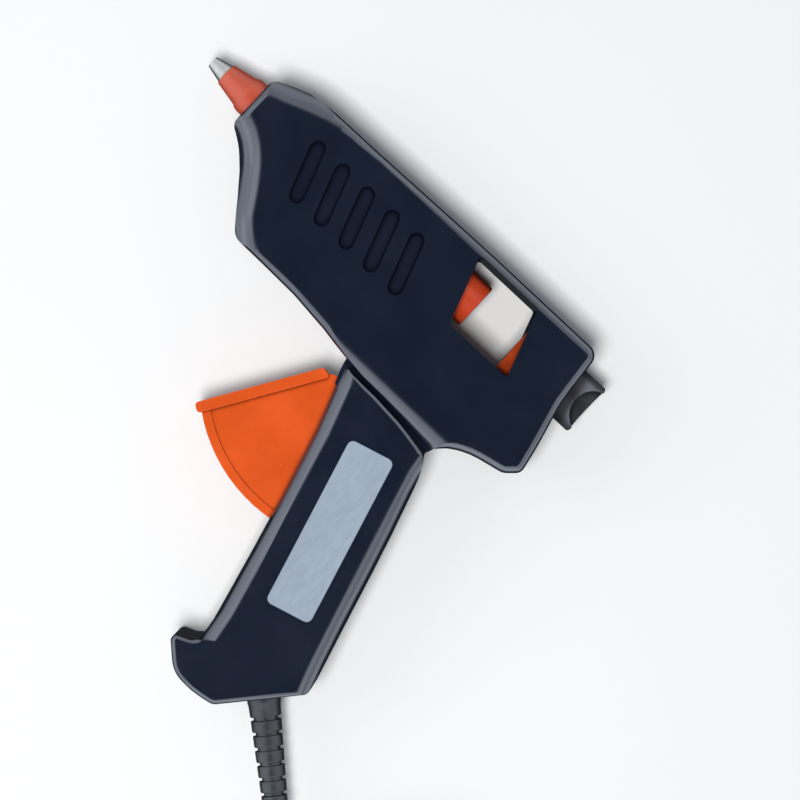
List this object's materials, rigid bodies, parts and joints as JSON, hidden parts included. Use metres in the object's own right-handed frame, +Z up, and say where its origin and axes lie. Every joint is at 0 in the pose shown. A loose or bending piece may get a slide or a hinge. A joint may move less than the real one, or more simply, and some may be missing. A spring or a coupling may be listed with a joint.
{
  "type": "hot glue gun",
  "caption": "Hot-melt glue gun with a two-part moulded housing, metal nozzle, top-hung trigger, stick feed with a viewing window, and a mains cord wound in a coil.",
  "frame": {"origin": "on the surface it lies on, under the middle of the gun's box (without the cord, its coil, plug and strain relief)", "axes": "+Z up, out of the gun's left side; +X from the nozzle to the rear along the feed axis; +Y from the handle's foot to the top of the barrel"},
  "size_m": [0.2774, 0.205, 0.0313],
  "materials": {
    "shell": "moulded blue-black plastic, satin",
    "black_plastic": "moulded black plastic, satin",
    "orange_plastic": "moulded orange plastic, semi-gloss",
    "nozzle_silicone": "orange-red silicone",
    "sleeve_silicone": "red silicone",
    "nozzle_metal": "bright turned metal",
    "cast_aluminium": "as cast",
    "contact_metal": "nickel-plated",
    "steel": "zinc-plated steel",
    "heater_ceramic": "fired ceramic",
    "heater_film": "amber insulating film",
    "lead_sleeve": "white woven glass sleeving",
    "crimp_cap": "natural nylon",
    "core_brown": "brown insulation",
    "core_blue": "blue insulation",
    "cord_jacket": "black flexible jacket",
    "boot_rubber": "black flexible moulding",
    "plug_plastic": "black moulded plug",
    "label": "blank blue-grey sticker with a satin film"
  },
  "bodies": {
    "gun_body": {"housing_left": "shell", "housing_right": "shell", "housing_screw_1": "steel", "housing_screw_2": "steel", "housing_screw_3": "steel", "housing_screw_4": "steel", "housing_screw_5": "steel", "housing_screw_6": "steel", "nozzle": "nozzle_metal", "nozzle_cover": "nozzle_silicone", "melt_chamber": "cast_aluminium", "heater_insulation": "heater_film", "heater_ceramic": "heater_ceramic", "heater_contact_upper": "contact_metal", "heater_contact_lower": "contact_metal", "inlet_sleeve": "sleeve_silicone", "sleeve_clip": "steel", "inlet_collar": "black_plastic", "pivot_pin": "steel", "return_spring": "steel", "heater_lead_1": "lead_sleeve", "heater_lead_2": "lead_sleeve", "crimp_1": "crimp_cap", "crimp_2": "crimp_cap", "cord_core_1": "core_brown", "cord_core_2": "core_blue", "cord_inner": "cord_jacket", "strain_relief": "boot_rubber", "cord_clamp": "black_plastic", "clamp_screw_1": "steel", "clamp_screw_2": "steel", "power_cord": "cord_jacket", "power_cord_tail": "cord_jacket", "cord_coil": "cord_jacket", "cord_tie": "black_plastic", "plug_body": "plug_plastic", "plug_pin_1": "contact_metal", "plug_pin_2": "contact_metal", "rating_label": "label"},
    "trigger": {"trigger": "orange_plastic", "return_spring_leg": "steel"},
    "feed_carriage": {"feed_carriage": "orange_plastic", "drive_pin": "steel", "jaw_pin": "steel"},
    "grip_jaw": {"grip_jaw": "steel"}
  },
  "joints": [
    {"name": "trigger_pull", "type": "hinge", "parent": "gun_body", "child": "trigger", "pos_m": [0.02155, 0.02305, 0.0155], "axis": [0, 0, 1], "range_deg": [0, 28], "stiffness_Nm_per_rad": 0.3, "springref_deg": -20.05},
    {"name": "carriage_feed", "type": "slide", "parent": "gun_body", "child": "feed_carriage", "axis": [-1, 0, 0], "range_m": [0, 0.0124]},
    {"name": "jaw_rock", "type": "hinge", "parent": "feed_carriage", "child": "grip_jaw", "pos_m": [0.05735, 0.04945, 0.0155], "axis": [0, 0, 1], "range_deg": [-8, 8], "stiffness_Nm_per_rad": 0.002}
  ],
  "couplings": [
    {"joint": "carriage_feed", "follows": "trigger_pull", "m_per_rad": 0.0251}
  ]
}
